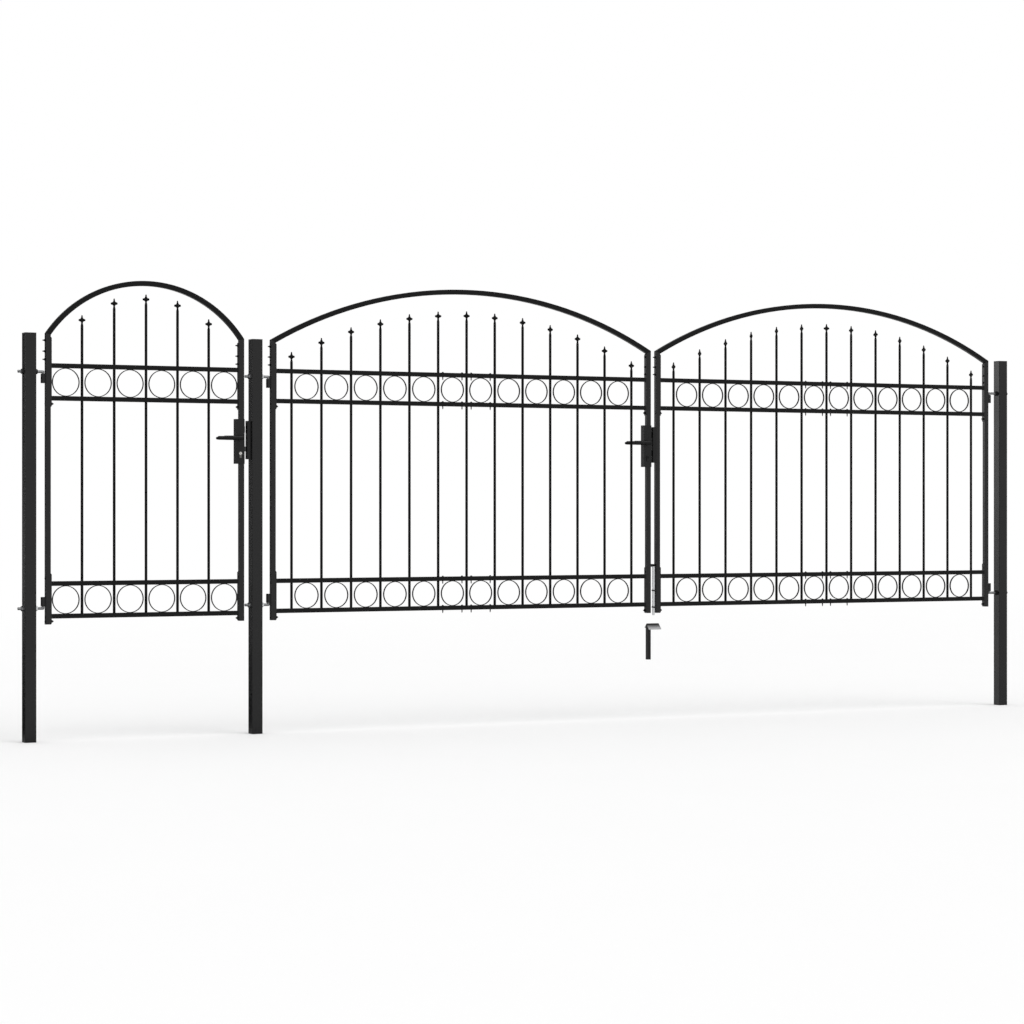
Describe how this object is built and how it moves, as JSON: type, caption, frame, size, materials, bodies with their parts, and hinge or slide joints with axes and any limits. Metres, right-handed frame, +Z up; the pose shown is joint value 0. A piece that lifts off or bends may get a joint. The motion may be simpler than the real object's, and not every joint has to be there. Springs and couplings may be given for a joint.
{
  "type": "driveway gate",
  "caption": "Arched steel driveway gate and walk gate on square posts: ring bands, spear-topped bars, pintle hinges, lever locks, a drop bolt and a ground stop.",
  "frame": {"origin": "centre of the middle post's flat foot", "axes": "+X along the gate to the right in the picture, +Y away from the viewer, +Z up"},
  "size_m": [5.1925, 0.0985, 2.0058],
  "materials": {
    "gate_black": "satin powder coat",
    "cap_plastic": "matte moulded plastic",
    "lock_black": "satin powder coat",
    "lever_black": "satin paint",
    "stop_black": "satin powder coat",
    "zinc": "bright zinc plate",
    "cylinder_nickel": "satin nickel"
  },
  "bodies": {
    "posts": {"left_post": "gate_black", "middle_post": "gate_black", "right_post": "gate_black", "post_caps": "cap_plastic", "hinge_pintles": "zinc", "post_keep": "lock_black", "ground_stop": "stop_black"},
    "walk_leaf": {"walk_arch": "gate_black", "walk_hinge_stile": "gate_black", "walk_latch_stile": "gate_black", "walk_upper_band": "gate_black", "walk_lower_band": "gate_black", "walk_strips": "gate_black", "walk_bars_row": "gate_black", "walk_finials": "gate_black", "walk_barrels": "gate_black", "walk_lock_case": "lock_black", "walk_lock_cylinder": "cylinder_nickel", "walk_lock_tongues": "zinc"},
    "left_leaf": {"left_arch": "gate_black", "left_hinge_stile": "gate_black", "left_lock_stile": "gate_black", "left_upper_band": "gate_black", "left_lower_band": "gate_black", "left_strips": "gate_black", "left_bars_row": "gate_black", "left_finials": "gate_black", "left_barrels": "gate_black", "left_lock_case": "lock_black", "left_lock_cylinder": "lock_black", "left_lock_tongues": "zinc"},
    "right_leaf": {"right_arch": "gate_black", "right_hinge_stile": "gate_black", "right_meeting_stile": "gate_black", "right_upper_band": "gate_black", "right_lower_band": "gate_black", "right_strips": "gate_black", "right_bars_row": "gate_black", "right_finials": "gate_black", "right_barrels": "gate_black", "leaf_keep": "lock_black", "bolt_guides": "gate_black"},
    "walk_handle": {"walk_lever": "lever_black"},
    "left_handle": {"left_lever": "lever_black"},
    "bolt": {"drop_bolt": "zinc"}
  },
  "joints": [
    {"name": "walk_swing", "type": "hinge", "parent": "posts", "child": "walk_leaf", "pos_m": [-0.975, 0, 0.6], "axis": [0, 0, 1], "range_deg": [0, 100]},
    {"name": "left_swing", "type": "hinge", "parent": "posts", "child": "left_leaf", "pos_m": [0.061, 0, 0.6], "axis": [0, 0, 1], "range_deg": [0, 100]},
    {"name": "right_swing", "type": "hinge", "parent": "posts", "child": "right_leaf", "pos_m": [3.9935, 0, 0.6], "axis": [0, 0, -1], "range_deg": [0, 100]},
    {"name": "walk_lever_turn", "type": "hinge", "parent": "walk_leaf", "child": "walk_handle", "pos_m": [-0.0775, 0, 1.3119], "axis": [0, -1, 0], "range_deg": [0, 40], "stiffness_Nm_per_rad": 0.6, "springref_deg": -34.38},
    {"name": "left_lever_turn", "type": "hinge", "parent": "left_leaf", "child": "left_handle", "pos_m": [1.9925, 0, 1.3119], "axis": [0, -1, 0], "range_deg": [0, 40], "stiffness_Nm_per_rad": 0.6, "springref_deg": -34.38},
    {"name": "bolt_drop", "type": "slide", "parent": "right_leaf", "child": "bolt", "axis": [0, 0, -1], "range_m": [0, 0.09]}
  ]
}
